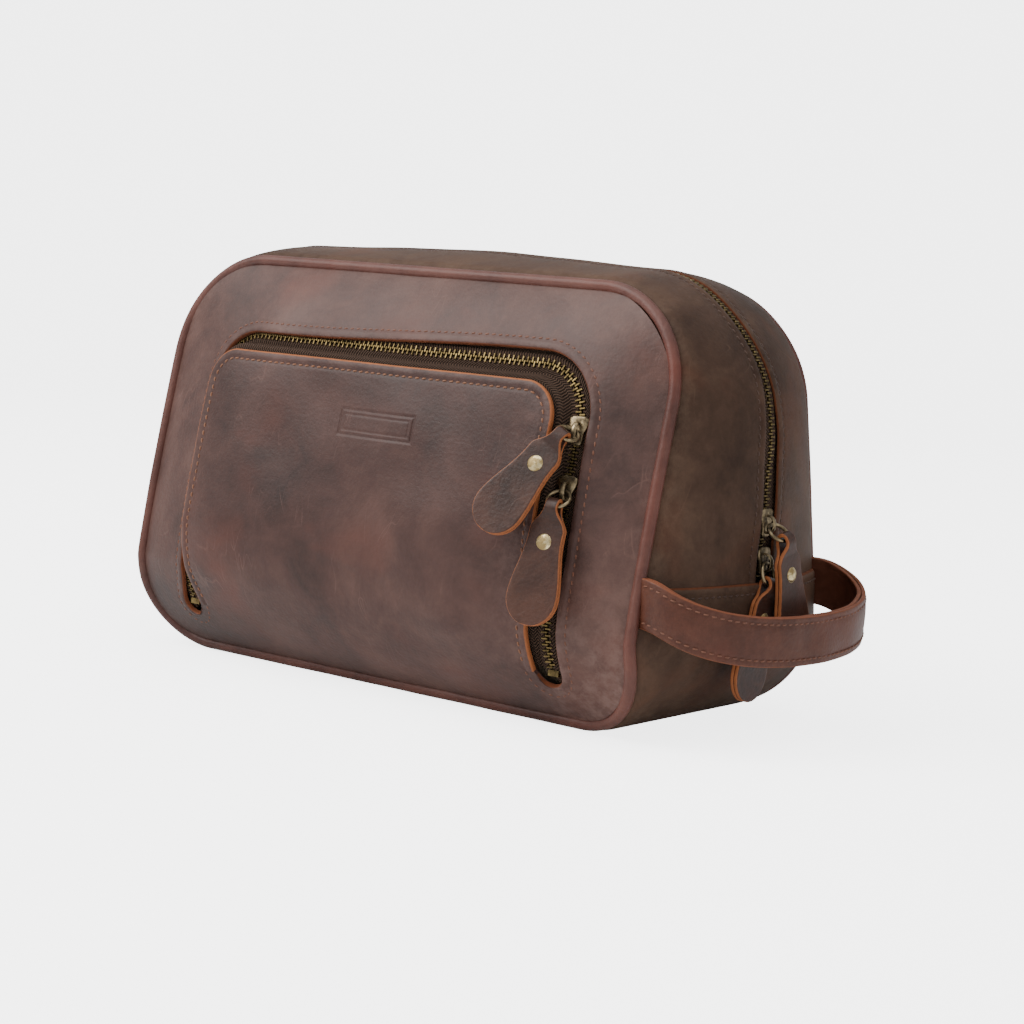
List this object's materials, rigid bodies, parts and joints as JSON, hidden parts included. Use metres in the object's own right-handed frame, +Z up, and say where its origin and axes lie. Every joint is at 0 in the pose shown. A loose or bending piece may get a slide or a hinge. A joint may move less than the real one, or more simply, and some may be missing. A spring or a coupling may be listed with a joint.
{
  "type": "hanging toiletry bag",
  "caption": "Leather toiletry bag with domed panels, end-to-end zip, arched front zip pocket, folded riveted pulls and a side hanging strap.",
  "frame": {"origin": "middle of the underside, on the surface the bag stands on", "axes": "+X to the right of the front face, towards the strap; -Y out of the front pocket; +Z up"},
  "size_m": [0.3235, 0.1607, 0.1777],
  "materials": {
    "leather": "waxed pull-up leather, satin",
    "strap_leather": "waxed pull-up leather, satin",
    "piping_leather": "waxed leather over cord, satin",
    "zip_tape": "woven herringbone tape, matt",
    "lining_fabric": "plain weave, matt",
    "stiffener_board": "pressed board, matt",
    "antique_brass": "antiqued, satin",
    "pale_brass": "brushed, satin"
  },
  "bodies": {
    "bag": {"front_panel": "leather", "front_piping": "piping_leather", "gusset_front": "leather", "base_band": "leather", "base_board": "stiffener_board", "back_panel_lower": "leather", "rear_piping_lower": "piping_leather", "pocket_backing": "lining_fabric", "lining_front": "lining_fabric", "lining_rear_lower": "lining_fabric", "lining_base": "lining_fabric", "main_tape_front": "zip_tape", "main_teeth_front": "antique_brass", "pocket_tape_outer": "zip_tape", "pocket_teeth_outer": "antique_brass", "main_stop_left": "antique_brass", "main_stop_right": "antique_brass", "pocket_stop_left": "antique_brass", "pocket_stop_right": "antique_brass"},
    "rear_half": {"back_panel_upper": "leather", "rear_piping_upper": "piping_leather", "gusset_rear": "leather", "main_tape_rear": "zip_tape", "main_teeth_rear": "antique_brass", "lining_rear_upper": "lining_fabric"},
    "pocket_flap": {"pocket_flap": "leather", "pocket_tape_inner": "zip_tape", "pocket_teeth_inner": "antique_brass"},
    "handle": {"handle_inner": "strap_leather", "handle_outer": "strap_leather"},
    "main_lower_slider": {"main_lower_slider": "antique_brass"},
    "main_lower_ring": {"main_lower_ring": "antique_brass"},
    "main_lower_pull": {"main_lower_pull": "leather", "main_lower_rivet": "pale_brass"},
    "main_upper_slider": {"main_upper_slider": "antique_brass"},
    "main_upper_ring": {"main_upper_ring": "antique_brass"},
    "main_upper_pull": {"main_upper_pull": "leather", "main_upper_rivet": "pale_brass"},
    "pocket_lower_slider": {"pocket_lower_slider": "antique_brass"},
    "pocket_lower_ring": {"pocket_lower_ring": "antique_brass"},
    "pocket_lower_pull": {"pocket_lower_pull": "leather", "pocket_lower_rivet": "pale_brass"},
    "pocket_upper_slider": {"pocket_upper_slider": "antique_brass"},
    "pocket_upper_ring": {"pocket_upper_ring": "antique_brass"},
    "pocket_upper_pull": {"pocket_upper_pull": "leather", "pocket_upper_rivet": "pale_brass"}
  },
  "joints": [
    {"name": "mouth_open", "type": "hinge", "parent": "bag", "child": "rear_half", "pos_m": [0, 0.0736, 0.0612], "axis": [-1, 0, 0], "range_deg": [0, 28]},
    {"name": "pocket_open", "type": "hinge", "parent": "bag", "child": "pocket_flap", "pos_m": [0, -0.0705, 0.0237], "axis": [1, 0, 0], "range_deg": [0, 40]},
    {"name": "handle_swing", "type": "hinge", "parent": "bag", "child": "handle", "pos_m": [0.1355, 0, 0.0555], "axis": [0, -1, 0], "range_deg": [-12, 30]},
    {"name": "main_lower_slide", "type": "slide", "parent": "bag", "child": "main_lower_slider", "axis": [0, 0, 1], "range_m": [0, 0.018]},
    {"name": "main_upper_slide", "type": "slide", "parent": "main_lower_slider", "child": "main_upper_slider", "axis": [0, 0, 1], "range_m": [0, 0.022]},
    {"name": "pocket_lower_slide", "type": "slide", "parent": "pocket_flap", "child": "pocket_lower_slider", "axis": [0, -0.178, -0.984], "range_m": [0, 0.04]},
    {"name": "pocket_upper_slide", "type": "hinge", "parent": "pocket_flap", "child": "pocket_upper_slider", "pos_m": [0.07554, -0.05684, 0.11865], "axis": [0.0677, -0.9701, 0.2329], "range_deg": [0, 85]},
    {"name": "main_lower_ring_swing", "type": "hinge", "parent": "main_lower_slider", "child": "main_lower_ring", "pos_m": [0.15, 0, 0.0684], "axis": [1, 0, 0], "range_deg": [-14, 14]},
    {"name": "main_lower_pull_lift", "type": "hinge", "parent": "main_lower_ring", "child": "main_lower_pull", "pos_m": [0.15233, -0.00197, 0.06052], "axis": [0, -0.9703, 0.2419], "range_deg": [0, 7]},
    {"name": "main_upper_ring_swing", "type": "hinge", "parent": "main_upper_slider", "child": "main_upper_ring", "pos_m": [0.15, 0, 0.0834], "axis": [1, 0, 0], "range_deg": [-12, 14]},
    {"name": "main_upper_pull_lift", "type": "hinge", "parent": "main_upper_ring", "child": "main_upper_pull", "pos_m": [0.15675, 0.00106, 0.07843], "axis": [0, -0.9781, -0.2079], "range_deg": [0, 8]},
    {"name": "pocket_lower_ring_swing", "type": "hinge", "parent": "pocket_lower_slider", "child": "pocket_lower_ring", "pos_m": [0.09826, -0.06488, 0.09365], "axis": [0.1935, -0.9606, 0.1996], "range_deg": [-2, 14]},
    {"name": "pocket_lower_pull_lift", "type": "hinge", "parent": "pocket_lower_ring", "child": "pocket_lower_pull", "pos_m": [0.09901, -0.07147, 0.08842], "axis": [-0.98, -0.1797, 0.0854], "range_deg": [0, 80]},
    {"name": "pocket_upper_ring_swing", "type": "hinge", "parent": "pocket_upper_slider", "child": "pocket_upper_ring", "pos_m": [0.09825, -0.05994, 0.11619], "axis": [-0.1894, 0.9548, -0.2293], "range_deg": [-8, 5]},
    {"name": "pocket_upper_pull_lift", "type": "hinge", "parent": "pocket_upper_ring", "child": "pocket_upper_pull", "pos_m": [0.09775, -0.06822, 0.11463], "axis": [-0.8555, -0.0459, 0.5158], "range_deg": [0, 90]}
  ]
}
